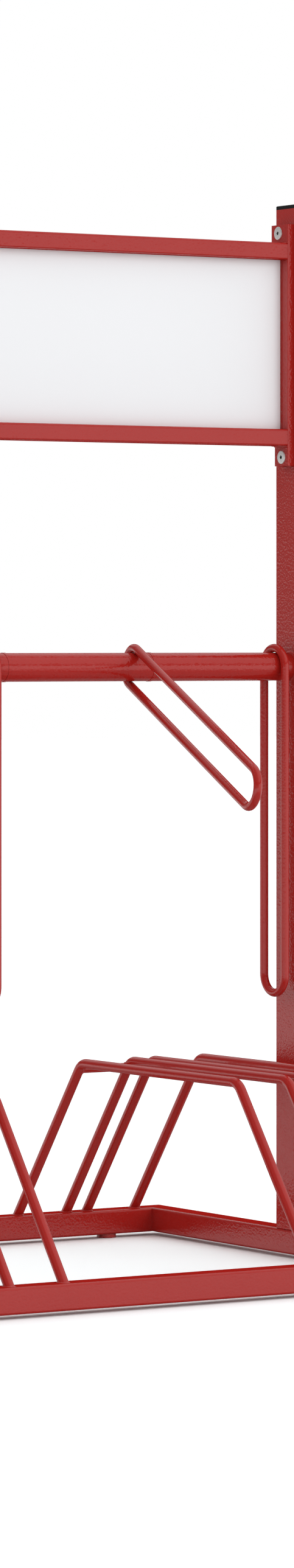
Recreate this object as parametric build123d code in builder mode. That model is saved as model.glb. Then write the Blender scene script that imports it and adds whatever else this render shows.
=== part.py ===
"""Two-sided bicycle rack: welded base, wheel hoops, posts, a lock tube with swinging rings, and a sign.

Millimetres. The origin is on the floor at the centre of the base, X runs along the rack,
Y runs from the front to the rear, and Z is up.
"""

import os

from build123d import *

os.makedirs("parts", exist_ok=True)

# Base frame
frame_length = 1264.0
frame_depth = 678.0
base_tube = 30.0
base_wall = 2.0
base_corner = 3.0
pad_diameter = 24.0
pad_height = 5.0
pad_from_end = 88.0
pad_edge = 0.6

# Wheel hoops, in groups of two wheel places with a narrow gap between them
hoop_bar = 12.0
hoop_rise = 197.0
hoop_top_width = 346.0
hoop_bend = 22.0
wheel_place = 70.0
place_gap = 30.0
hoop_from_end = 47.0
group_count = 3

# Posts and their caps
post_width = 30.0
post_depth = 60.0
post_wall = 2.0
post_corner = 3.0
post_above_lug = 20.0
cap_plate = 4.6
cap_edge = 1.2
cap_plug = 16.0
cap_plug_wall = 2.5
cap_plug_clearance = 0.3
cap_fin = 0.2
cap_fin_height = 1.5
cap_fin_count = 3

# Lock tube, with a narrow raised band where one ring's bay ends and the next begins
lock_tube_diameter = 33.7
lock_tube_wall = 2.6
bay_count = 6
band_width = 4.0
band_height = 0.4

# Lock rings
ring_bar = 10.0
ring_reach = 370.0
ring_play = 0.6
ring_from_bay_end = 21.2
ring_over_hoops = 78.5
raised_ring = 5
raised_angle = 68.6
raised_skew = 9.2

# Sign
sign_over_tube = 241.5
sign_height = 244.0
sign_bar_height = 20.0
sign_bar_depth = 30.0
sign_bar_wall = 2.0
sign_bar_corner = 2.5
side_thickness = 12.0
side_width = 35.0
side_edge = 0.8
upper_lug = 22.5
lower_lug = 24.0
lower_lug_width = 28.0
panel_thickness = 2.0

# Sign screws and the rivet nuts that hold them
screw_diameter = 8.0
screw_length = 28.0
screw_clearance = 0.25
screw_inset = 14.6
upper_screw_from_end = 10.0
lower_screw_from_end = 10.5
head_diameter = 16.0
head_height = 1.2
head_taper = 32.0
socket_across = 4.0
socket_depth = 2.0
nut_body = 11.0
nut_bulge = 14.0
nut_bulge_length = 3.0
nut_length = 19.0
nut_clearance = 0.1

# Heights, stacked from the floor up
base_middle = pad_height + base_tube / 2
rail_top = pad_height + base_tube
hoop_top = rail_top + hoop_rise
ring_radius = lock_tube_diameter / 2 + ring_play + ring_bar / 2
lock_tube_z = hoop_top + hoop_bar / 2 + ring_over_hoops + ring_reach + ring_radius + ring_bar / 2
lug_bottom = lock_tube_z + sign_over_tube
sign_bottom = lug_bottom + lower_lug
sign_top = sign_bottom + sign_height
lug_top = sign_top + upper_lug
post_top = lug_top + post_above_lug

# Places along the rack and across it
rail_y = (frame_depth - base_tube) / 2
post_x = (frame_length - base_tube) / 2
post_inner = post_x - post_width / 2
sign_end = post_inner - side_thickness
bay_length = 2 * post_inner / bay_count
SIDES = {"left": -1, "right": 1}


def save(piece, name):
    """Label a finished piece and write it to its own file."""
    piece.part.label = name
    export_step(piece.part, f"parts/{name}.step")


def tube_section(width, height, wall, corner):
    """Rounded rectangular tube section, drawn in the sketch that is open."""
    RectangleRounded(width, height, corner)
    inner_corner = max(corner - wall, wall / 4)
    RectangleRounded(width - 2 * wall, height - 2 * wall, inner_corner, mode=Mode.SUBTRACT)


def corner_plane(x_side, y_side):
    """Mitre plane at one corner of the base. Its normal points from the rail to the cross tube."""
    corner = (x_side * frame_length / 2, y_side * frame_depth / 2, 0)
    return Plane(origin=corner, z_dir=(x_side, -y_side, 0))


# Base rails, mitred at both ends
for rail_name, y_side in {"rail_front": -1, "rail_rear": 1}.items():
    with BuildPart() as rail:
        with BuildSketch(Plane.YZ.offset(-frame_length / 2)):
            with Locations((y_side * rail_y, base_middle)):
                tube_section(base_tube, base_tube, base_wall, base_corner)
        extrude(amount=frame_length)
        for x_side in SIDES.values():
            split(bisect_by=corner_plane(x_side, y_side), keep=Keep.BOTTOM)
    save(rail, rail_name)

# End cross tubes, mitred to meet the rails
for side, x_side in SIDES.items():
    with BuildPart() as cross_tube:
        with BuildSketch(Plane.XZ.offset(-frame_depth / 2)):
            with Locations((x_side * post_x, base_middle)):
                tube_section(base_tube, base_tube, base_wall, base_corner)
        extrude(amount=frame_depth)
        for y_side in (-1, 1):
            split(bisect_by=corner_plane(x_side, y_side), keep=Keep.TOP)
    save(cross_tube, f"cross_tube_{side}")

# Round pads welded under the rails
with BuildPart() as floor_pads:
    with BuildSketch():
        with GridLocations(frame_length - 2 * pad_from_end, 2 * rail_y, 2, 2):
            Circle(pad_diameter / 2)
    extrude(amount=pad_height)
    chamfer(floor_pads.edges().group_by(Axis.Z)[0], pad_edge)
save(floor_pads, "floor_pads")

# Wheel hoops: a bar bent to a trapezoid, its two feet cut level on the rails
group_half = place_gap / 2 + wheel_place
outer_group = frame_length / 2 - hoop_from_end - group_half
group_pitch = 2 * outer_group / (group_count - 1)
hoop_places = []
for group in range(group_count):
    group_x = group * group_pitch - outer_group
    for offset in (-group_half, -place_gap / 2, place_gap / 2, group_half):
        hoop_places.append(group_x + offset)

top_corner = Vector(hoop_top_width / 2, hoop_top)
foot = Vector(rail_y, rail_top)
leg_end = foot + (foot - top_corner).normalized() * hoop_bar
hoop_outline = [
    (-leg_end.X, leg_end.Y),
    (-top_corner.X, top_corner.Y),
    (top_corner.X, top_corner.Y),
    (leg_end.X, leg_end.Y),
]

for number, hoop_x in enumerate(hoop_places, start=1):
    with BuildPart() as hoop:
        with BuildLine(Plane.YZ.offset(hoop_x)) as hoop_line:
            FilletPolyline(*hoop_outline, radius=hoop_bend)
        with BuildSketch(Plane(origin=hoop_line.line @ 0, z_dir=hoop_line.line % 0)):
            Circle(hoop_bar / 2)
        sweep()
        split(bisect_by=Plane.XY.offset(rail_top), keep=Keep.TOP)
    save(hoop, f"hoop_{number}")

# Sign screws: two in each side member, set back from the rear edge of its lugs
side_front = sign_bar_depth / 2
upper_rear = side_width - side_front
lower_rear = lower_lug_width - side_front
screw_points = [
    (upper_rear - screw_inset, lug_top - upper_screw_from_end),
    (lower_rear - screw_inset, lug_bottom + lower_screw_from_end),
]


def screw_planes(inset):
    """Planes square to the four screws, that far from the posts' inner faces, facing the posts."""
    planes = []
    for x_side in SIDES.values():
        for y, z in screw_points:
            planes.append(Plane(origin=(x_side * (post_inner - inset), y, z), z_dir=(x_side, 0, 0)))
    return planes


# Posts, standing on the cross tubes, with holes for the rivet nuts
for side, x_side in SIDES.items():
    with BuildPart() as post:
        with BuildSketch(Plane.XY.offset(rail_top)):
            with Locations((x_side * post_x, 0)):
                tube_section(post_width, post_depth, post_wall, post_corner)
        extrude(amount=post_top - rail_top)
        with BuildSketch(Plane.YZ.offset(x_side * post_inner)):
            with Locations(*screw_points):
                Circle(nut_body / 2 + nut_clearance)
        extrude(amount=x_side * post_wall, mode=Mode.SUBTRACT)
    save(post, f"post_{side}")

# Post caps: a flat plate with a finned plug that grips inside the tube
plug_width = post_width - 2 * (post_wall + cap_plug_clearance)
plug_depth = post_depth - 2 * (post_wall + cap_plug_clearance)
fin_width = plug_width + 2 * cap_fin
fin_depth = plug_depth + 2 * cap_fin
fin_pitch = cap_plug / (cap_fin_count + 1)
for side, x_side in SIDES.items():
    with BuildPart() as post_cap:
        with BuildSketch(Plane.XY.offset(post_top)):
            with Locations((x_side * post_x, 0)):
                RectangleRounded(post_width, post_depth, post_corner)
        extrude(amount=cap_plate)
        fillet(post_cap.edges().group_by(Axis.Z)[-1], cap_edge)
        with BuildSketch(Plane.XY.offset(post_top)):
            with Locations((x_side * post_x, 0)):
                tube_section(plug_width, plug_depth, cap_plug_wall, cap_plug_wall)
        extrude(amount=-cap_plug)
        for fin in range(1, cap_fin_count + 1):
            with BuildSketch(Plane.XY.offset(post_top - fin * fin_pitch)):
                with Locations((x_side * post_x, 0)):
                    tube_section(fin_width, fin_depth, cap_plug_wall, cap_plug_wall)
            extrude(amount=cap_fin_height)
    save(post_cap, f"post_cap_{side}")

# Lock tube, butted between the posts
with BuildPart() as lock_tube:
    with BuildSketch(Plane.YZ.offset(-post_inner)):
        with Locations((0, lock_tube_z)):
            Circle(lock_tube_diameter / 2)
            Circle(lock_tube_diameter / 2 - lock_tube_wall, mode=Mode.SUBTRACT)
    extrude(amount=2 * post_inner)
    for bay in range(1, bay_count):
        with BuildSketch(Plane.YZ.offset(bay * bay_length - post_inner - band_width / 2)):
            with Locations((0, lock_tube_z)):
                Circle(lock_tube_diameter / 2 + band_height)
                Circle(lock_tube_diameter / 2 - lock_tube_wall, mode=Mode.SUBTRACT)
        extrude(amount=band_width)
save(lock_tube, "lock_tube")

# Lock rings: closed oblong rings round the tube, all hanging but the raised one
for number in range(1, bay_count + 1):
    turn = -raised_angle if number == raised_ring else 0
    skew = raised_skew if number == raised_ring else 0
    ring_x = number * bay_length - post_inner - ring_from_bay_end
    across = Vector(0, 1, 0).rotate(Axis.X, turn)
    normal = Vector(1, 0, 0).rotate(Axis((0, 0, 0), across), skew)
    ring_plane = Plane(origin=(ring_x, 0, lock_tube_z), x_dir=across, z_dir=normal)
    with BuildPart() as lock_ring:
        with BuildLine(ring_plane) as ring_line:
            near_arc = CenterArc((0, 0), ring_radius, 0, 180)
            far_arc = CenterArc((0, -ring_reach), ring_radius, 180, 180)
            Line(near_arc @ 1, far_arc @ 0)
            Line(far_arc @ 1, near_arc @ 0)
        with BuildSketch(Plane(origin=ring_line.line @ 0, z_dir=ring_line.line % 0)):
            Circle(ring_bar / 2)
        sweep()
    save(lock_ring, f"lock_ring_{number}")

# Sign bars, between the side members
for bar_name, bar_z in {
    "sign_top_bar": sign_top - sign_bar_height / 2,
    "sign_bottom_bar": sign_bottom + sign_bar_height / 2,
}.items():
    with BuildPart() as sign_bar:
        with BuildSketch(Plane.YZ.offset(-sign_end)):
            with Locations((0, bar_z)):
                tube_section(sign_bar_depth, sign_bar_height, sign_bar_wall, sign_bar_corner)
        extrude(amount=2 * sign_end)
    save(sign_bar, bar_name)

# Sign side members: uprights against the posts, flush with the bars in front, narrower at the lower lug
side_outline = [
    (-side_front, lug_bottom),
    (lower_rear, lug_bottom),
    (lower_rear, sign_bottom),
    (upper_rear, sign_bottom),
    (upper_rear, lug_top),
    (-side_front, lug_top),
]
for side, x_side in SIDES.items():
    with BuildPart() as sign_side:
        with BuildSketch(Plane.YZ.offset(x_side * post_inner)):
            with BuildLine():
                Polyline(*side_outline, close=True)
            make_face()
            with Locations(*screw_points):
                Circle(screw_diameter / 2 + screw_clearance, mode=Mode.SUBTRACT)
        extrude(amount=-x_side * side_thickness)
        front_edges = sign_side.edges().filter_by(Axis.Z).group_by(Axis.Y)[0]
        fillet(front_edges.sort_by_distance((0, 0, sign_top))[0], side_edge)
    save(sign_side, f"sign_side_{side}")

# Sign panel: a sheet that fills the frame
with BuildPart() as sign_panel:
    with BuildSketch(Plane.XZ.offset(-panel_thickness / 2)):
        with Locations((0, (sign_bottom + sign_top) / 2)):
            Rectangle(2 * sign_end, sign_height - 2 * sign_bar_height)
    extrude(amount=panel_thickness)
save(sign_panel, "sign_panel")

# Flat-head screws through the side members
with BuildPart() as sign_screws:
    with BuildSketch(*screw_planes(side_thickness)):
        Circle(screw_diameter / 2)
    extrude(amount=screw_length)
    with BuildSketch(*screw_planes(side_thickness)):
        Circle(head_diameter / 2)
    extrude(amount=-head_height, taper=head_taper)
    with BuildSketch(*screw_planes(side_thickness + head_height)):
        RegularPolygon(socket_across / 2, 6, major_radius=False)
    extrude(amount=socket_depth, mode=Mode.SUBTRACT)
save(sign_screws, "sign_screws")

# Rivet nuts set flush in the posts, each with the bulge that grips behind the wall
with BuildPart() as rivet_nuts:
    with BuildSketch(*screw_planes(0)):
        Circle(nut_body / 2)
    extrude(amount=nut_length)
    with BuildSketch(*screw_planes(-post_wall)):
        Circle(nut_bulge / 2)
    extrude(amount=nut_bulge_length)
    with BuildSketch(*screw_planes(0)):
        Circle(screw_diameter / 2 + nut_clearance)
    extrude(amount=nut_length, mode=Mode.SUBTRACT)
save(rivet_nuts, "rivet_nuts")
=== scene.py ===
"""Looks of a two-sided bike rack: gloss red powder coat, weld beads, screws, sign sheet and a studio stage.

Metres. The frame's origin is on the floor at the centre of the base, X runs along the rack,
Y runs from the front to the rear, and Z is up.
"""

import math
from collections import namedtuple

import bmesh
import bpy
from bpy.props import FloatProperty, FloatVectorProperty, PointerProperty
from bpy.types import Operator, Panel, PropertyGroup
from mathutils import Matrix, Vector, noise


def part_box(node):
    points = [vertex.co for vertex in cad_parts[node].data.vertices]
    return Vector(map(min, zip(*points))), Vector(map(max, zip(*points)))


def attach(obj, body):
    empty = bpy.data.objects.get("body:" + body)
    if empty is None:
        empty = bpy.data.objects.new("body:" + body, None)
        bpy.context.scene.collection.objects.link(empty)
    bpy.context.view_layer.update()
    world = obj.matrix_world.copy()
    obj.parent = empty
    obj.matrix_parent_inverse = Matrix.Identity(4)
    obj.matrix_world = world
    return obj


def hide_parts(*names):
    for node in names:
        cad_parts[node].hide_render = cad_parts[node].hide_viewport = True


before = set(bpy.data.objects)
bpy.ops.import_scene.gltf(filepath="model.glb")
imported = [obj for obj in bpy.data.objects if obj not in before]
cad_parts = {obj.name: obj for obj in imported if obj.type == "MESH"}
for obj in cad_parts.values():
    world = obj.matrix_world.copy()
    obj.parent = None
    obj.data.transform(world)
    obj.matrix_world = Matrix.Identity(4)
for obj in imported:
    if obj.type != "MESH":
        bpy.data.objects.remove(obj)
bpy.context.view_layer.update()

bl_info = {
    "name": "Bike Rack Looks",
    "version": (1, 0, 0),
    "blender": (4, 5, 0),
    "location": "View3D > Sidebar > Bike Rack",
    "description": "Paint, welds, screws, sign and studio stage for a two-sided bike rack",
    "category": "Object",
}

RACK = "rack"
SIDES = {"left": -1, "right": 1}
FRONT, REAR = -1, 1

# Picture that the camera matches, in pixels. The principal column is counted from the picture's middle
PHOTO_HEIGHT = 2576
FOCAL_PIXELS = 9135.0
HORIZON_ROW = 1050.0
PRINCIPAL_COLUMN = 1.2

# Where the mirrored studio changes its brightness, as the ray's share along Z and X
BACKDROP_TOP = 0.16
ROOM_START = 0.22
ROOM_END = 0.28
CEILING_START = 0.42
LEFT_START = 0.1
LEFT_END = -0.4

# Slants at which the coat's mirror reflection fades: 0 is looked at squarely, 1 is along the surface
GLANCING_START = 0.6
GLANCING_END = 0.88

# Slants at which the mirrored floor turns pale
SHALLOW_START = 0.55
SHALLOW_END = 0.8

# Scale of the slow drift in the tone of each coat
PAINT_DRIFT = 9.0
SHEET_DRIFT = 3.0
CAP_DRIFT = 30.0

# Texture of the sheet and of the caps: share of the colour left in the darkest places, roughness, how much
# rougher the dullest places are, and width and depth of a dimple
SHEET_SHADE = 0.97
SHEET_ROUGHNESS_CHANGE = 0.08
SHEET_DIMPLE = (0.004, 0.00002)
CAP_SHADE = 0.7
CAP_ROUGHNESS = 0.42
CAP_ROUGHNESS_CHANGE = 0.12
CAP_DIMPLE = (0.0007, 0.00004)

# Plated steel: its turning lines and its spots, the share of the colour left in the darkest spots, and the
# roughness of the darkest and of the brightest spots
TURNING_SCALE = 900.0
TURNING_WAVER = 0.6
TURNING_DEPTH = 0.00004
TURNING_STRENGTH = 0.4
SPOT_SCALE = 700.0
SPOT_SHADE = 0.72
STEEL_ROUGHNESS = (0.24, 0.42)

# Painted shade in a screw's socket: the dark colour that stands in for the shade in its recess, and where it
# ends as a multiple of the socket's radius
SOCKET_PAINTED_SHADE = (0.03, 0.029, 0.028)
SOCKET_SHADE_END = 1.15

# Vertices nearer to each other than this are joined, and edges sharper than this stay crisp
MERGE_DISTANCE = 1e-6
SHARP_ANGLE = math.radians(38)

# How near to the end of a CAD node its vertices count as that end
END_TOLERANCE = 1e-4

# Section of a weld bead: steps of its curve, power of the curve, which is 1 for a flat bead and less for a
# fuller one, and share of its leg that is sunk in the metal
BEAD_STEPS = 5
BEAD_BULGE = 0.8
BEAD_SINK = 0.35

# Straight weld beads: share of the section left at the ends, and steps along the bead
END_SQUEEZE = 0.45
STEPS_A_RIPPLE = 2
FEWEST_STEPS = 4

# Screw heads: upright share of the height, steps of the rounded edge, inner radius of the flat land and width
# of the chamfered mouth as multiples of the socket's, and height of the chamfer
HEAD_WALL = 0.3
HEAD_EDGE_STEPS = 5
SOCKET_LAND = 1.45
SOCKET_MOUTH = 1.06
SOCKET_CHAMFER = 0.0002

# Steps of the sheet's rounded edges
SHEET_EDGE_STEPS = 3

HOOPS = sorted(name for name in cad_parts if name.startswith("hoop_"))
RINGS = sorted(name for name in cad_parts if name.startswith("lock_ring_"))
PAINTED_TUBES = [
    "rail_front", "rail_rear", "cross_tube_left", "cross_tube_right", "floor_pads",
    "post_left", "post_right", "lock_tube",
    "sign_top_bar", "sign_bottom_bar", "sign_side_left", "sign_side_right",
]


class RackPaintSettings(PropertyGroup):
    """Powder coat on every steel piece of the rack."""

    colour: FloatVectorProperty(
        name="Paint colour", description="Body colour of the powder coat",
        subtype="COLOR", size=3, min=0, max=1, default=(0.405, 0.0157, 0.0114))
    deep_colour: FloatVectorProperty(
        name="Deep paint colour", description="Colour where the coat has flowed a little thicker",
        subtype="COLOR", size=3, min=0, max=1, default=(0.362, 0.0115, 0.0082))
    roughness: FloatProperty(
        name="Roughness", description="Roughness of the glossiest areas", min=0, max=1, default=0.10)
    roughness_change: FloatProperty(
        name="Roughness change", description="How much rougher the dullest areas are",
        min=0, max=1, default=0.07)
    specular: FloatProperty(
        name="Specular level", description="Strength of the coat's mirror reflection",
        min=0, max=1, default=0.6)
    glancing_specular: FloatProperty(
        name="Glancing specular level", description="Strength of the mirror reflection at a glancing angle",
        min=0, max=1, default=0.0)
    peel_cell: FloatProperty(
        name="Orange peel size", description="Width of one dimple of the orange peel",
        unit="LENGTH", precision=5, min=0.0005, max=0.02, default=0.0026)
    peel_height: FloatProperty(
        name="Orange peel height", description="Depth of the dimples on tubes",
        unit="LENGTH", precision=6, min=0, max=0.001, default=0.0002)
    bar_peel_height: FloatProperty(
        name="Orange peel height on bars", description="Depth of the dimples on hoops and lock rings",
        unit="LENGTH", precision=6, min=0, max=0.001, default=0.00007)


class RackWeldSettings(PropertyGroup):
    """Weld beads under the paint."""

    hoop_bead: FloatProperty(
        name="Hoop bead", description="Leg length of the bead round a hoop's foot",
        unit="LENGTH", precision=4, min=0.0005, max=0.006, default=0.0012)
    tube_bead: FloatProperty(
        name="Tube bead", description="Leg length of the bead where the lock tube meets a post",
        unit="LENGTH", precision=4, min=0.0005, max=0.008, default=0.0026)
    post_bead: FloatProperty(
        name="Post bead", description="Leg length of the beads at the posts' feet",
        unit="LENGTH", precision=4, min=0.0005, max=0.008, default=0.0026)
    sign_bead: FloatProperty(
        name="Sign bead", description="Leg length of the beads at the ends of the sign bars",
        unit="LENGTH", precision=4, min=0.0005, max=0.008, default=0.0014)
    ripple: FloatProperty(
        name="Ripple", description="How far a bead's surface waves in and out",
        unit="LENGTH", precision=5, min=0, max=0.001, default=0.00016)
    ripple_pitch: FloatProperty(
        name="Ripple pitch", description="Length of one wave along a bead",
        unit="LENGTH", precision=4, min=0.0005, max=0.01, default=0.0028)


class RackStopSettings(PropertyGroup):
    """Short bars that stop a wheel at the far end of its place."""

    bar: FloatProperty(
        name="Stop bar", description="Diameter of a wheel stop",
        unit="LENGTH", precision=4, min=0.004, max=0.02, default=0.010)
    drop: FloatProperty(
        name="Stop drop", description="How far a wheel stop lies below the top bars of its hoops",
        unit="LENGTH", precision=4, min=0, max=0.1, default=0.0074)


class RackSignSettings(PropertyGroup):
    """Sign sheet, screws and post caps."""

    sheet_colour: FloatVectorProperty(
        name="Sheet colour", description="Colour of the bare sign sheet",
        subtype="COLOR", size=3, min=0, max=1, default=(0.87, 0.88, 0.90))
    sheet_roughness: FloatProperty(
        name="Sheet roughness", description="Roughness of the coated sheet", min=0, max=1, default=0.42)
    sheet_slot: FloatProperty(
        name="Sheet slot", description="Width of the slot between each end of the sheet and the frame",
        unit="LENGTH", precision=4, min=0, max=0.004, default=0.0013)
    sheet_edge: FloatProperty(
        name="Sheet edge", description="Rounding of the sheet's edges",
        unit="LENGTH", precision=4, min=0.0001, max=0.0009, default=0.0004)
    steel_colour: FloatVectorProperty(
        name="Screw colour", description="Colour of the plated screws",
        subtype="COLOR", size=3, min=0, max=1, default=(0.9, 0.91, 0.89))
    steel_metallic: FloatProperty(
        name="Screw metal share", description="How much of the plating mirrors like bare metal",
        min=0, max=1, default=0.6)
    cap_colour: FloatVectorProperty(
        name="Cap colour", description="Colour of the moulded post caps",
        subtype="COLOR", size=3, min=0, max=1, default=(0.012, 0.012, 0.013))
    cap_specular: FloatProperty(
        name="Cap specular level", description="Strength of the caps' mirror reflection",
        min=0, max=1, default=0.12)
    socket_across: FloatProperty(
        name="Socket width", description="Width across the flats of a screw's hex socket",
        unit="LENGTH", precision=4, min=0.002, max=0.008, default=0.004)
    socket_depth: FloatProperty(
        name="Socket depth", description="Depth of a screw's hex socket",
        unit="LENGTH", precision=4, min=0.0005, max=0.003, default=0.002)
    thread_pitch: FloatProperty(
        name="Thread pitch", description="Distance from one thread crest to the next",
        unit="LENGTH", precision=5, min=0.0005, max=0.003, default=0.00125)
    thread_depth: FloatProperty(
        name="Thread depth", description="Depth of the thread grooves",
        unit="LENGTH", precision=5, min=0.0001, max=0.001, default=0.0006)


class RackStageSettings(PropertyGroup):
    """Floor, light and camera."""

    floor_size: FloatProperty(
        name="Floor size", description="Side of the square floor", unit="LENGTH", min=4, max=200, default=60)
    floor_colour: FloatVectorProperty(
        name="Floor colour",
        description="Colour of the floor as it is seen, over 1 so that only deep shade shows",
        subtype="COLOR", size=3, min=0, max=2, default=(1.13, 1.19, 1.2))
    floor_steep: FloatVectorProperty(
        name="Floor mirrored from above", description="Colour of the floor as the rack mirrors it from above",
        subtype="COLOR", size=3, min=0, max=1, default=(0.3, 0.3, 0.3))
    floor_shallow: FloatVectorProperty(
        name="Floor mirrored from the side",
        description="Colour of the floor as the rack mirrors it from low down",
        subtype="COLOR", size=3, min=0, max=1, default=(1.0, 1.0, 1.0))
    floor_bounce: FloatVectorProperty(
        name="Floor bounce", description="Colour of the light that the floor throws back on the rack",
        subtype="COLOR", size=3, min=0, max=1, default=(0.76, 0.76, 0.76))
    ambient: FloatProperty(
        name="Ambient light", description="Strength of the even light from all round",
        min=0, max=3, default=0.94)
    room_level: FloatProperty(
        name="Room reflection",
        description="Brightness of the studio just above the backdrop, as it is mirrored",
        min=0, max=1, default=0.12)
    ceiling_level: FloatProperty(
        name="Ceiling reflection", description="Brightness of the studio's ceiling, as it is mirrored",
        min=0, max=1, default=0.75)
    left_level: FloatProperty(
        name="Left reflection", description="Brightness of the studio's left side, as it is mirrored",
        min=0, max=3, default=0.25)
    front_level: FloatProperty(
        name="Front level", description="Share of white that the light in front gives",
        min=0, max=3, default=0.28)
    front_spread: FloatProperty(
        name="Front spread", description="Width of the light in front", subtype="ANGLE",
        min=0, max=math.pi, default=math.radians(50))
    front_toward: FloatVectorProperty(
        name="Front direction", description="Direction from the rack to the light in front",
        subtype="XYZ", size=3, default=(0.47, -0.84, 0.20))
    camera_place: FloatVectorProperty(
        name="Camera place", description="Where the camera stands",
        subtype="TRANSLATION", size=3, default=(-3.124, -5.575, 0.747))
    camera_turn: FloatProperty(
        name="Camera turn",
        description="Turn of the level camera from the +Y direction, clockwise from above",
        subtype="ANGLE", default=math.radians(32.3))


# Shader helpers

def add(tree, kind, inputs=None, **settings):
    """Add a shader node: sockets among the inputs are linked, and plain values are set."""
    made = tree.nodes.new(kind)
    for name, value in settings.items():
        setattr(made, name, value)
    for name, value in (inputs or {}).items():
        if isinstance(value, bpy.types.NodeSocket):
            tree.links.new(value, made.inputs[name])
        else:
            made.inputs[name].default_value = value
    return made


def math_node(tree, operation, first, second):
    """Value of one arithmetic step on two sockets or numbers."""
    return add(tree, "ShaderNodeMath", {0: first, 1: second}, operation=operation).outputs[0]


def map_range(tree, value, low, high):
    """Value from 0 to 1, spread over another range."""
    made = add(tree, "ShaderNodeMapRange", {"Value": value, "To Min": low, "To Max": high})
    return made.outputs["Result"]


def smooth_range(tree, value, start, end, low, high):
    """Value that goes smoothly from low to high while another goes from start to end."""
    made = add(tree, "ShaderNodeMapRange", {
        "Value": value, "From Min": start, "From Max": end, "To Min": low, "To Max": high},
        interpolation_type="SMOOTHSTEP")
    return made.outputs["Result"]


def mix_colours(tree, factor, first, second):
    """Blend of two colours, each a socket or three plain numbers, by a factor that changes."""
    ends = [end if isinstance(end, bpy.types.NodeSocket) else (*end, 1) for end in (first, second)]
    # The node's colour sockets share their names with others, so they go by number
    made = add(tree, "ShaderNodeMix", {0: factor, 6: ends[0], 7: ends[1]}, data_type="RGBA")
    return made.outputs[2]


def object_coordinates(tree):
    """Coordinates of the piece's own frame, in metres."""
    return add(tree, "ShaderNodeTexCoord").outputs["Object"]


def slant(tree):
    """0 where a ray meets the surface squarely, and 1 where it runs along it."""
    return add(tree, "ShaderNodeLayerWeight", {"Blend": 0.5}).outputs["Facing"]


def shaded(colour, share):
    """Colour at a share of its brightness."""
    return tuple(share * channel for channel in colour)


def new_group(name, inputs, outputs):
    """Empty shader group with named float or vector sockets, and its two end nodes."""
    group = bpy.data.node_groups.new(name, "ShaderNodeTree")
    for socket, kind in inputs.items():
        group.interface.new_socket(socket, in_out="INPUT", socket_type=kind)
    for socket, kind in outputs.items():
        group.interface.new_socket(socket, in_out="OUTPUT", socket_type=kind)
    return group, group.nodes.new("NodeGroupInput"), group.nodes.new("NodeGroupOutput")


def shared_group(name, build):
    """Group of that name, built the first time it is asked for."""
    return bpy.data.node_groups.get(name) or build(name)


def build_surface_group(name):
    """Dimpled coat: a height for a bump, and a slow tone that drifts over the piece."""
    group, start, end = new_group(
        name,
        {"Vector": "NodeSocketVector", "Dimple Scale": "NodeSocketFloat", "Drift Scale": "NodeSocketFloat"},
        {"Height": "NodeSocketFloat", "Tone": "NodeSocketFloat"})
    place = start.outputs["Vector"]
    scale = start.outputs["Dimple Scale"]
    cells = add(group, "ShaderNodeTexVoronoi", {"Vector": place, "Scale": scale, "Smoothness": 1.0},
                feature="SMOOTH_F1")
    swell = add(group, "ShaderNodeTexNoise",
                {"Vector": place, "Scale": scale, "Detail": 2.0, "Roughness": 0.5})
    height = math_node(group, "ADD", cells.outputs["Distance"], swell.outputs["Fac"])
    drift = add(group, "ShaderNodeTexNoise",
                {"Vector": place, "Scale": start.outputs["Drift Scale"], "Detail": 3.0, "Roughness": 0.6})
    group.links.new(height, end.inputs["Height"])
    group.links.new(drift.outputs["Fac"], end.inputs["Tone"])
    return group


def new_material(name):
    """New material, with its node tree and its shader."""
    material = bpy.data.materials.new(name)
    material.use_nodes = True
    return material, material.node_tree, material.node_tree.nodes["Principled BSDF"]


def coated_material(name, colour, deep_colour, roughness, roughness_change, dimple, drift_scale):
    """Coated or moulded surface with dimples of one width and depth, a slow colour drift and uneven gloss."""
    material, tree, shader = new_material(name)
    width, depth = dimple
    surface = add(
        tree, "ShaderNodeGroup",
        {"Vector": object_coordinates(tree), "Dimple Scale": 1 / width, "Drift Scale": drift_scale},
        node_tree=shared_group("Dimpled Coat", build_surface_group))
    tone = surface.outputs["Tone"]
    bump = add(tree, "ShaderNodeBump",
               {"Strength": 1.0, "Distance": depth, "Height": surface.outputs["Height"]})
    tree.links.new(mix_colours(tree, tone, deep_colour, colour), shader.inputs["Base Color"])
    rough = map_range(tree, tone, roughness, roughness + roughness_change)
    tree.links.new(rough, shader.inputs["Roughness"])
    tree.links.new(bump.outputs["Normal"], shader.inputs["Normal"])
    return material


def specular_socket(material):
    """Socket of the strength of a material's mirror reflection."""
    return material.node_tree.nodes["Principled BSDF"].inputs["Specular IOR Level"]


def red_powder_coat(on_bars=False):
    """Gloss red powder coat with a fine orange peel, which lies flatter on thin bars."""
    name = "red_powder_coat_on_bars" if on_bars else "red_powder_coat"
    found = bpy.data.materials.get(name)
    if found:
        return found
    paint = bpy.context.scene.rack_paint
    peel_height = paint.bar_peel_height if on_bars else paint.peel_height
    material = coated_material(
        name, paint.colour, paint.deep_colour, paint.roughness, paint.roughness_change,
        (paint.peel_cell, peel_height), PAINT_DRIFT)
    tree = material.node_tree
    gloss = smooth_range(
        tree, slant(tree), GLANCING_START, GLANCING_END, paint.specular, paint.glancing_specular)
    specular = specular_socket(material)
    specular.default_value = paint.specular
    tree.links.new(gloss, specular)
    return material


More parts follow.
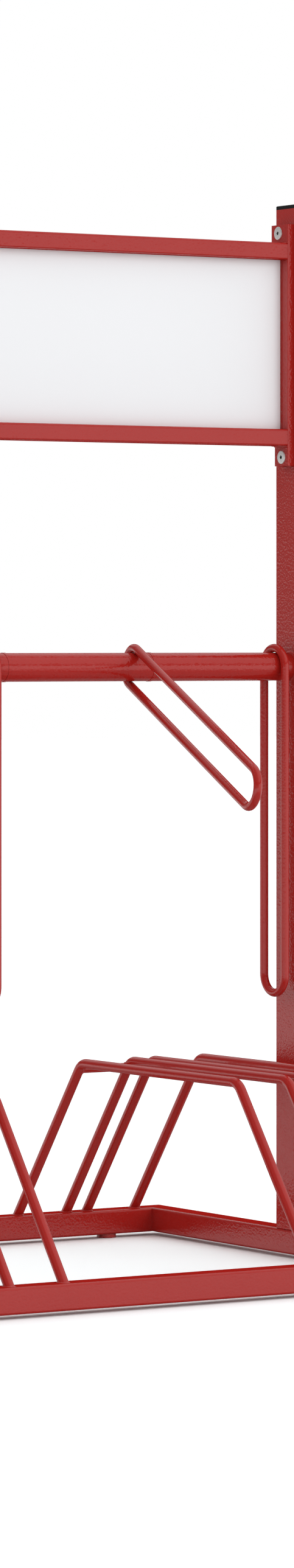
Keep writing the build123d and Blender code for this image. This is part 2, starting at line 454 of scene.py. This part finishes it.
def bright_steel(name, colour, metallic, socket_radius=0.0):
    """Plated steel with fine turning lines round each screw, and painted shade in the socket where it has
    one.
    """
    material, tree, shader = new_material(name)
    shader.inputs["Metallic"].default_value = metallic
    radius = add(tree, "ShaderNodeAttribute", attribute_name="turning_radius").outputs["Fac"]
    along = add(tree, "ShaderNodeCombineXYZ", {"X": radius}).outputs["Vector"]
    lines = add(tree, "ShaderNodeTexWave",
                {"Vector": along, "Scale": TURNING_SCALE, "Distortion": TURNING_WAVER}, bands_direction="X")
    spots = add(tree, "ShaderNodeTexNoise",
                {"Vector": object_coordinates(tree), "Scale": SPOT_SCALE, "Detail": 3.0, "Roughness": 0.6})
    plating = mix_colours(tree, spots.outputs["Fac"], shaded(colour, SPOT_SHADE), colour)
    if socket_radius:
        # Painted shade: the socket's recess is coloured dark, fading out just past the socket's radius
        outside = smooth_range(tree, radius, socket_radius, SOCKET_SHADE_END * socket_radius, 0.0, 1.0)
        plating = mix_colours(tree, outside, SOCKET_PAINTED_SHADE, plating)
    rough = map_range(tree, spots.outputs["Fac"], *STEEL_ROUGHNESS)
    bump = add(tree, "ShaderNodeBump",
               {"Strength": TURNING_STRENGTH, "Distance": TURNING_DEPTH, "Height": lines.outputs["Fac"]})
    tree.links.new(plating, shader.inputs["Base Color"])
    tree.links.new(rough, shader.inputs["Roughness"])
    tree.links.new(bump.outputs["Normal"], shader.inputs["Normal"])
    return material


def dress(names, material):
    """Give CAD nodes a finish."""
    for name in names:
        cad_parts[name].data.materials[0] = material


# Mesh helpers

def spin_section(bm, points, closed, segments):
    """Turn a section of (radius, height) points round the Z axis. Returns the new vertices."""
    older = set(bm.verts)
    corners = [bm.verts.new((radius, 0, height)) for radius, height in points]
    pairs = list(zip(corners, corners[1:]))
    if closed:
        pairs.append((corners[-1], corners[0]))
    edges = [bm.edges.new(pair) for pair in pairs]
    bmesh.ops.spin(bm, geom=corners + edges, cent=(0, 0, 0), axis=(0, 0, 1),
                   angle=2 * math.pi, steps=segments, use_merge=True)
    made = [vert for vert in bm.verts if vert not in older]
    bmesh.ops.remove_doubles(bm, verts=made, dist=MERGE_DISTANCE)
    return [vert for vert in bm.verts if vert not in older]


def bead_section(leg):
    """Points (out, up) of a bead's section: a full outer curve and one point sunk in the metal."""
    points = []
    for step in range(BEAD_STEPS + 1):
        share = step / BEAD_STEPS
        points.append((leg * (1 - share) ** BEAD_BULGE, leg * share ** BEAD_BULGE))
    points.append((-BEAD_SINK * leg, -BEAD_SINK * leg))
    return points


def round_bead(bm, radius, leg, segments):
    """Bead round a bar that stands upright on the origin. Returns its vertices."""
    section = [(radius + out, up) for out, up in bead_section(leg)]
    return spin_section(bm, section, True, segments)


def straight_bead(bm, start, end, out_way, up_way, leg, welds):
    """Bead in the straight corner of two walls, with ends that taper off."""
    run = end - start
    corner = [bm.verts.new(start + out_way * out + up_way * up) for out, up in bead_section(leg)]
    face = bm.faces.new(corner)
    squeeze_end(bm, corner, start)
    steps = max(FEWEST_STEPS, round(run.length / welds.ripple_pitch * STEPS_A_RIPPLE))
    for step in range(steps):
        made = bmesh.ops.extrude_face_region(bm, geom=[face])["geom"]
        face = next(item for item in made if isinstance(item, bmesh.types.BMFace))
        moved = list(face.verts)
        bmesh.ops.translate(bm, verts=moved, vec=run / steps)
        middle = start + run * (step + 1) / steps
        if step == 0:
            squeeze_end(bm, moved, middle, back=True)
        if step == steps - 1:
            squeeze_end(bm, moved, middle)


def squeeze_end(bm, verts, corner, back=False):
    """Shrink a bead's section towards its corner, or spread it out again."""
    size = 1 / END_SQUEEZE if back else END_SQUEEZE
    bmesh.ops.scale(bm, vec=(size, size, size), space=Matrix.Translation(-corner), verts=verts)


def ripple(bm, verts, welds):
    """Wave a bead's surface in and out along its length, the same way at every run."""
    bm.normal_update()
    for vert in verts:
        vert.co += vert.normal * welds.ripple * noise.noise(vert.co / welds.ripple_pitch)


def hexagon_reach(angle):
    """Distance from a hexagon's centre to its edge in one direction, for flats at a distance of 1."""
    sector = math.pi / 3
    return 1 / math.cos((angle % sector) - sector / 2)


def new_piece(name, bm, material, body=RACK):
    """Finish a mesh as one piece that rides on a body of the rack."""
    bmesh.ops.remove_doubles(bm, verts=bm.verts, dist=MERGE_DISTANCE)
    bmesh.ops.recalc_face_normals(bm, faces=bm.faces)
    for face in bm.faces:
        face.smooth = True
    mesh = bpy.data.meshes.new(name)
    bm.to_mesh(mesh)
    bm.free()
    mesh.set_sharp_from_angle(angle=SHARP_ANGLE)
    mesh.materials.append(material)
    piece = bpy.data.objects.new(name, mesh)
    bpy.context.scene.collection.objects.link(piece)
    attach(piece, body)
    return piece


# Places read from the frame

ScrewSeat = namedtuple("ScrewSeat", "point facing head_radius head_height shank_radius shank_length")


def hoop_feet(name):
    """Front and rear foot of a hoop, each as centre, bar radius, lengthwise stretch and lean."""
    low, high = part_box(name)
    radius = (high.x - low.x) / 2
    sole = [v.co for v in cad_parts[name].data.vertices if v.co.z < low.z + END_TOLERANCE]
    feet = {}
    for end in (FRONT, REAR):
        reach = [co.y for co in sole if co.y * end > 0]
        centre = Vector(((low.x + high.x) / 2, (min(reach) + max(reach)) / 2, low.z))
        stretch = (max(reach) - min(reach)) / 2 / radius
        feet[end] = centre, radius, stretch, -end * math.sqrt(stretch ** 2 - 1)
    return feet


def tube_end_radius(face_x):
    """Outer radius of the lock tube at one of its ends."""
    low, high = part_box("lock_tube")
    middle = (low + high) / 2
    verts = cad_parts["lock_tube"].data.vertices
    ends = [v.co for v in verts if abs(v.co.x - face_x) < END_TOLERANCE]
    return max(math.hypot(co.y - middle.y, co.z - middle.z) for co in ends)


def screw_seats():
    """Seats of the CAD screws: the lower and the upper one on the left, then those on the right."""
    verts = [v.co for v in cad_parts["sign_screws"].data.vertices]
    for side, x_side in SIDES.items():
        low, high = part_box(f"sign_side_{side}")
        seat_x = low.x if x_side > 0 else high.x
        own = [co for co in verts if co.x * x_side > 0]
        halfway = (min(co.z for co in own) + max(co.z for co in own)) / 2
        for upper in (False, True):
            one = [co for co in own if (co.z > halfway) == upper]
            middle = [(min(co[i] for co in one) + max(co[i] for co in one)) / 2 for i in (1, 2)]
            reach = [abs(co.x) for co in one]
            tip = [co for co in one if abs(co.x) > max(reach) - END_TOLERANCE]
            yield ScrewSeat(
                point=Vector((seat_x, *middle)),
                facing=Vector((-x_side, 0, 0)),
                head_radius=(max(co.z for co in one) - min(co.z for co in one)) / 2,
                head_height=abs(seat_x) - min(reach),
                shank_radius=max(math.hypot(co.y - middle[0], co.z - middle[1]) for co in tip),
                shank_length=max(reach) - abs(seat_x))


# Operators

class RACK_OT_paint_steel(Operator):
    """Give the tubes, hoops, rings and pads their red powder coat"""

    bl_idname = "rack.paint_steel"
    bl_label = "Paint Steel"

    def execute(self, context):
        dress(PAINTED_TUBES, red_powder_coat())
        dress(HOOPS + RINGS, red_powder_coat(on_bars=True))
        return {"FINISHED"}


class RACK_OT_weld_hoops(Operator):
    """Run a weld bead round every hoop foot"""

    bl_idname = "rack.weld_hoops"
    bl_label = "Weld Hoops"

    segments = 44

    def execute(self, context):
        welds = context.scene.rack_welds
        bm = bmesh.new()
        for name in HOOPS:
            for centre, radius, stretch, lean in hoop_feet(name).values():
                bead = round_bead(bm, radius, welds.hoop_bead, self.segments)
                oval = Matrix(((1, 0, 0, 0), (0, stretch, lean, 0), (0, 0, 1, 0), (0, 0, 0, 1)))
                bmesh.ops.transform(bm, matrix=Matrix.Translation(centre) @ oval, verts=bead)
        ripple(bm, bm.verts, welds)
        new_piece("hoop_welds", bm, red_powder_coat(on_bars=True))
        return {"FINISHED"}


class RACK_OT_fit_wheel_stops(Operator):
    """Join the two hoops of each wheel place by a welded bar, at the rear and at the front in turn"""

    bl_idname = "rack.fit_wheel_stops"
    bl_label = "Fit Wheel Stops"

    segments = 40

    def execute(self, context):
        row = sorted(HOOPS, key=lambda name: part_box(name)[0].x)
        bm = bmesh.new()
        beads = []
        for place, pair in enumerate(zip(row[::2], row[1::2])):
            end = FRONT if place % 2 else REAR
            beads += self.model_stop(bm, context.scene, pair, end)
        ripple(bm, beads, context.scene.rack_welds)
        new_piece("wheel_stops", bm, red_powder_coat(on_bars=True))
        return {"FINISHED"}

    def model_stop(self, bm, scene, pair, end):
        """Bar between the axes of two hoops' legs, with a bead at each end. Returns the beads' vertices."""
        radius = scene.rack_stops.bar / 2
        legs = [self.leg_point(name, end, scene.rack_stops.drop) for name in pair]
        (start, leg_radius, lean), (stop, *_) = legs
        length = (stop - start).length
        bar = spin_section(bm, [(0, 0), (radius, 0), (radius, length), (0, length)], False, self.segments)
        along_rack = Matrix.Rotation(math.pi / 2, 4, "Y")
        bmesh.ops.transform(bm, matrix=Matrix.Translation(start) @ along_rack, verts=bar)
        beads = []
        for centre, facing in ((start, 1), (stop, -1)):
            bead = round_bead(bm, radius, scene.rack_welds.hoop_bead, self.segments)
            turn = Matrix.Rotation(facing * math.pi / 2, 4, "Y")
            bmesh.ops.transform(bm, matrix=Matrix.Translation(centre) @ turn, verts=bead)
            for vert in bead:
                away = vert.co - centre
                across = (away.y - lean * away.z) / math.hypot(1, lean)
                vert.co.x += facing * math.sqrt(max(leg_radius ** 2 - across ** 2, 0))
            beads += bead
        return beads

    @staticmethod
    def leg_point(name, end, drop):
        """Point on the axis of a hoop's leg at a drop below its top bar, with the leg's radius and lean."""
        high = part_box(name)[1]
        centre, radius, _, lean = hoop_feet(name)[end]
        height = high.z - radius - drop
        return Vector((centre.x, centre.y + lean * (height - centre.z), height)), radius, lean


class RACK_OT_weld_tube(Operator):
    """Run a weld bead round both ends of the lock tube"""

    bl_idname = "rack.weld_tube"
    bl_label = "Weld Lock Tube"

    segments = 96

    def execute(self, context):
        welds = context.scene.rack_welds
        axis_z = sum(corner.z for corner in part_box("lock_tube")) / 2
        bm = bmesh.new()
        for side, x_side in SIDES.items():
            low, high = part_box(f"post_{side}")
            face_x = low.x if x_side > 0 else high.x
            bead = round_bead(bm, tube_end_radius(face_x), welds.tube_bead, self.segments)
            turn = Matrix.Rotation(-x_side * math.pi / 2, 4, "Y")
            bmesh.ops.transform(bm, matrix=Matrix.Translation((face_x, 0, axis_z)) @ turn, verts=bead)
        ripple(bm, bm.verts, welds)
        new_piece("lock_tube_welds", bm, red_powder_coat())
        return {"FINISHED"}


class RACK_OT_weld_frame(Operator):
    """Run straight weld beads at the posts' feet and at the ends of the sign bars"""

    bl_idname = "rack.weld_frame"
    bl_label = "Weld Frame"

    def execute(self, context):
        welds = context.scene.rack_welds
        upward = Vector((0, 0, 1))
        bm = bmesh.new()
        for side in SIDES:
            low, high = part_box(f"post_{side}")
            for y, outward in ((low.y, -1), (high.y, 1)):
                start = Vector((low.x + welds.post_bead, y, low.z))
                end = Vector((high.x - welds.post_bead, y, low.z))
                straight_bead(bm, start, end, Vector((0, outward, 0)), upward, welds.post_bead, welds)
        for bar, outward in (("sign_top_bar", 1), ("sign_bottom_bar", -1)):
            low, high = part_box(bar)
            z = high.z if outward > 0 else low.z
            for x, inward in ((low.x, 1), (high.x, -1)):
                start = Vector((x, low.y, z))
                end = Vector((x, high.y, z))
                straight_bead(
                    bm, start, end, Vector((inward, 0, 0)), outward * upward, welds.sign_bead, welds)
        ripple(bm, bm.verts, welds)
        new_piece("frame_welds", bm, red_powder_coat())
        return {"FINISHED"}


class RACK_OT_fit_screws(Operator):
    """Model the four flat-head screws with hex sockets and threads"""

    bl_idname = "rack.fit_screws"
    bl_label = "Fit Screws"

    segments = 48

    def execute(self, context):
        sign = context.scene.rack_sign
        bm = bmesh.new()
        for seat in screw_seats():
            self.model_screw(bm, sign, seat)
        steel = bright_steel(
            "bright_screw_steel", sign.steel_colour, sign.steel_metallic, sign.socket_across / 2)
        screws = new_piece("sign_screws_detailed", bm, steel)
        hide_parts("sign_screws")
        self.mark_radius(screws)
        return {"FINISHED"}

    def model_screw(self, bm, sign, seat):
        """Turn one screw from the tip of its shank to the rim of its socket, then sink the socket."""
        older = set(bm.verts)
        flats = sign.socket_across / 2
        profile = list(self.shank_profile(sign, seat.shank_radius, seat.shank_length))
        profile += self.head_profile(seat.head_radius, seat.head_height, flats)
        spin_section(bm, profile, False, self.segments)
        rim = [edge for edge in bm.edges if edge.is_boundary]
        for scale, depth in ((SOCKET_MOUTH, 0), (1.0, SOCKET_CHAMFER), (1.0, sign.socket_depth)):
            bmesh.ops.extrude_edge_only(bm, edges=rim)
            rim = [edge for edge in bm.edges if edge.is_boundary]
            for vert in {vert for edge in rim for vert in edge.verts}:
                angle = math.atan2(vert.co.y, vert.co.x)
                reach = flats * scale * hexagon_reach(angle)
                vert.co = (reach * math.cos(angle), reach * math.sin(angle), seat.head_height - depth)
        bmesh.ops.contextual_create(bm, geom=rim)
        made = [vert for vert in bm.verts if vert not in older]
        turn = Vector((0, 0, 1)).rotation_difference(seat.facing).to_matrix().to_4x4()
        bmesh.ops.transform(bm, matrix=Matrix.Translation(seat.point) @ turn, verts=made)

    @staticmethod
    def shank_profile(sign, radius, length):
        """Radius and height of the threaded shank's rings, from the tip up to the head."""
        yield 0.0, -length
        yield radius - 2 * sign.thread_depth, -length
        turns = int((length - 2 * sign.thread_pitch) / sign.thread_pitch)
        for turn in range(turns):
            height = -length + (turn + 1) * sign.thread_pitch
            yield radius, height
            yield radius - sign.thread_depth, height + sign.thread_pitch / 2
        yield radius, -sign.thread_pitch / 2
        yield radius, 0.0

    @staticmethod
    def head_profile(radius, height, flats):
        """Radius and height of the flat head's rings, from its seat to the rim of the socket."""
        yield radius, 0.0
        yield radius, HEAD_WALL * height
        edge = (1 - HEAD_WALL) * height
        for step in range(1, HEAD_EDGE_STEPS + 1):
            angle = math.pi / 2 * step / HEAD_EDGE_STEPS
            yield radius - edge + edge * math.cos(angle), height - edge + edge * math.sin(angle)
        yield flats * SOCKET_LAND, height

    @staticmethod
    def mark_radius(piece):
        """Store each vertex's distance from its screw's axis, for the turning lines and the painted shade in
        the socket.
        """
        points = [seat.point for seat in screw_seats()]
        attribute = piece.data.attributes.new("turning_radius", "FLOAT", "POINT")
        for vert in piece.data.vertices:
            distances = [math.hypot(vert.co.y - point.y, vert.co.z - point.z) for point in points]
            attribute.data[vert.index].value = min(distances)


class RACK_OT_hang_sheet(Operator):
    """Set the white sheet into the sign's frame, with rounded edges and a slot at each end"""

    bl_idname = "rack.hang_sheet"
    bl_label = "Hang Sign Sheet"

    def execute(self, context):
        sign = context.scene.rack_sign
        low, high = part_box("sign_panel")
        size = high - low - Vector((2 * sign.sheet_slot, 0, 0))
        bm = bmesh.new()
        place = Matrix.Translation((low + high) / 2) @ Matrix.Diagonal((*size, 1))
        bmesh.ops.create_cube(bm, size=1.0, matrix=place)
        bmesh.ops.bevel(bm, geom=bm.edges, offset=sign.sheet_edge, affect="EDGES",
                        segments=SHEET_EDGE_STEPS, profile=0.5, material=-1)
        finish = coated_material(
            "white_sign_sheet", sign.sheet_colour, shaded(sign.sheet_colour, SHEET_SHADE),
            sign.sheet_roughness, SHEET_ROUGHNESS_CHANGE, SHEET_DIMPLE, SHEET_DRIFT)
        sheet = new_piece("sign_sheet", bm, finish)
        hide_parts("sign_panel")
        return {"FINISHED"}


class RACK_OT_finish_trim(Operator):
    """Give the post caps and the rivet nuts their finishes"""

    bl_idname = "rack.finish_trim"
    bl_label = "Finish Caps and Nuts"

    def execute(self, context):
        sign = context.scene.rack_sign
        cap = coated_material(
            "black_cap_plastic", sign.cap_colour, shaded(sign.cap_colour, CAP_SHADE),
            CAP_ROUGHNESS, CAP_ROUGHNESS_CHANGE, CAP_DIMPLE, CAP_DRIFT)
        specular_socket(cap).default_value = sign.cap_specular
        dress(["post_cap_left", "post_cap_right"], cap)
        dress(["rivet_nuts"], bright_steel("zinc_steel", sign.steel_colour, sign.steel_metallic))
        return {"FINISHED"}


class RACK_OT_set_stage(Operator):
    """Lay the pale floor, set the even light and the soft lamp, and stand the camera"""

    bl_idname = "rack.set_stage"
    bl_label = "Set Stage"

    def execute(self, context):
        stage = context.scene.rack_stage
        self.lay_floor(stage)
        self.light_world(context.scene, stage)
        self.hang_light("front_light", stage.front_toward, stage.front_spread, stage.front_level)
        self.stand_camera(context.scene, stage)
        context.scene.view_settings.view_transform = "Standard"
        return {"FINISHED"}

    @staticmethod
    def mirrored_or_refracted(tree, path):
        """1 for a glossy or transmission ray, and 0 for the other rays."""
        return math_node(tree, "MAXIMUM", path["Is Glossy Ray"], path["Is Transmission Ray"])

    def lay_floor(self, stage):
        """Square floor that looks pale and throws back a softer light."""
        material, tree, shader = new_material("pale_floor")
        tree.nodes.remove(shader)
        path = add(tree, "ShaderNodeLightPath").outputs
        low_down = smooth_range(tree, slant(tree), SHALLOW_START, SHALLOW_END, 0.0, 1.0)
        mirrored = mix_colours(tree, low_down, stage.floor_steep, stage.floor_shallow)
        unseen = mix_colours(tree, self.mirrored_or_refracted(tree, path), stage.floor_bounce, mirrored)
        seen = mix_colours(tree, path["Is Camera Ray"], unseen, stage.floor_colour)
        surface = add(tree, "ShaderNodeBsdfDiffuse", {"Color": seen})
        tree.links.new(surface.outputs[0], tree.nodes["Material Output"].inputs["Surface"])
        bm = bmesh.new()
        bmesh.ops.create_grid(bm, x_segments=1, y_segments=1, size=stage.floor_size / 2)
        mesh = bpy.data.meshes.new("floor")
        bm.to_mesh(mesh)
        bm.free()
        mesh.materials.append(material)
        floor = bpy.data.objects.new("floor", mesh)
        bpy.context.scene.collection.objects.link(floor)

    def light_world(self, scene, stage):
        """White backdrop, mirrored less bright above and on the left, and an even light on the rack."""
        world = bpy.data.worlds.new("studio")
        world.use_nodes = True
        scene.world = world
        tree = world.node_tree
        path = add(tree, "ShaderNodeLightPath").outputs
        ray = add(tree, "ShaderNodeTexCoord").outputs["Generated"]
        way = add(tree, "ShaderNodeSeparateXYZ", {"Vector": ray}).outputs
        ceiling = smooth_range(tree, way["Z"], ROOM_END, CEILING_START, stage.room_level, stage.ceiling_level)
        above = smooth_range(tree, way["Z"], BACKDROP_TOP, ROOM_START, 1.0, ceiling)
        across = smooth_range(tree, way["X"], LEFT_END, LEFT_START, stage.left_level, 1.0)
        mirrored = math_node(tree, "MULTIPLY", above, across)
        lit = map_range(tree, self.mirrored_or_refracted(tree, path), stage.ambient, mirrored)
        strength = map_range(tree, path["Is Camera Ray"], lit, 1.0)
        background = tree.nodes["Background"]
        background.inputs["Color"].default_value = (1, 1, 1, 1)
        tree.links.new(strength, background.inputs["Strength"])

    @staticmethod
    def hang_light(name, toward, spread, level):
        """Wide, even light from one direction, not mirrored as a spot."""
        light = bpy.data.lights.new(name, "SUN")
        light.angle = spread
        light.energy = math.pi * level
        holder = bpy.data.objects.new(name, light)
        holder.rotation_euler = (-Vector(toward)).to_track_quat("-Z", "Y").to_euler()
        holder.visible_glossy = False
        bpy.context.scene.collection.objects.link(holder)

    @staticmethod
    def stand_camera(scene, stage):
        """Level camera, its picture shifted so that the horizon lies where the photograph has it."""
        lens = bpy.data.cameras.new("camera")
        lens.lens = lens.sensor_width * FOCAL_PIXELS / PHOTO_HEIGHT
        lens.shift_x = -PRINCIPAL_COLUMN / PHOTO_HEIGHT
        lens.shift_y = (HORIZON_ROW - PHOTO_HEIGHT / 2) / PHOTO_HEIGHT
        camera = bpy.data.objects.new("camera", lens)
        camera.location = stage.camera_place
        camera.rotation_euler = (math.pi / 2, 0, -stage.camera_turn)
        scene.collection.objects.link(camera)
        scene.camera = camera


class RACK_PT_looks(Panel):
    """Sidebar panel with every step of the rack's looks"""

    bl_idname = "RACK_PT_looks"
    bl_label = "Bike Rack"
    bl_space_type = "VIEW_3D"
    bl_region_type = "UI"
    bl_category = "Bike Rack"

    def draw(self, context):
        for step in STEPS:
            self.layout.operator(step.bl_idname)
        for name in SETTINGS:
            settings = getattr(context.scene, name)
            column = self.layout.column(align=True)
            for key in settings.__annotations__:
                column.prop(settings, key)


STEPS = (
    RACK_OT_paint_steel,
    RACK_OT_weld_hoops,
    RACK_OT_fit_wheel_stops,
    RACK_OT_weld_tube,
    RACK_OT_weld_frame,
    RACK_OT_fit_screws,
    RACK_OT_hang_sheet,
    RACK_OT_finish_trim,
    RACK_OT_set_stage,
)
SETTINGS = {
    "rack_paint": RackPaintSettings,
    "rack_welds": RackWeldSettings,
    "rack_stops": RackStopSettings,
    "rack_sign": RackSignSettings,
    "rack_stage": RackStageSettings,
}


def register():
    for settings in SETTINGS.values():
        bpy.utils.register_class(settings)
    for name, settings in SETTINGS.items():
        setattr(bpy.types.Scene, name, PointerProperty(type=settings))
    for step in STEPS:
        bpy.utils.register_class(step)
    bpy.utils.register_class(RACK_PT_looks)


def unregister():
    bpy.utils.unregister_class(RACK_PT_looks)
    for step in reversed(STEPS):
        bpy.utils.unregister_class(step)
    for name in SETTINGS:
        delattr(bpy.types.Scene, name)
    for settings in reversed(SETTINGS.values()):
        bpy.utils.unregister_class(settings)


def main():
    register()
    bpy.ops.rack.paint_steel()
    bpy.ops.rack.weld_hoops()
    bpy.ops.rack.fit_wheel_stops()
    bpy.ops.rack.weld_tube()
    bpy.ops.rack.weld_frame()
    bpy.ops.rack.fit_screws()
    bpy.ops.rack.hang_sheet()
    bpy.ops.rack.finish_trim()
    bpy.ops.rack.set_stage()


if __name__ == "__main__":
    main()
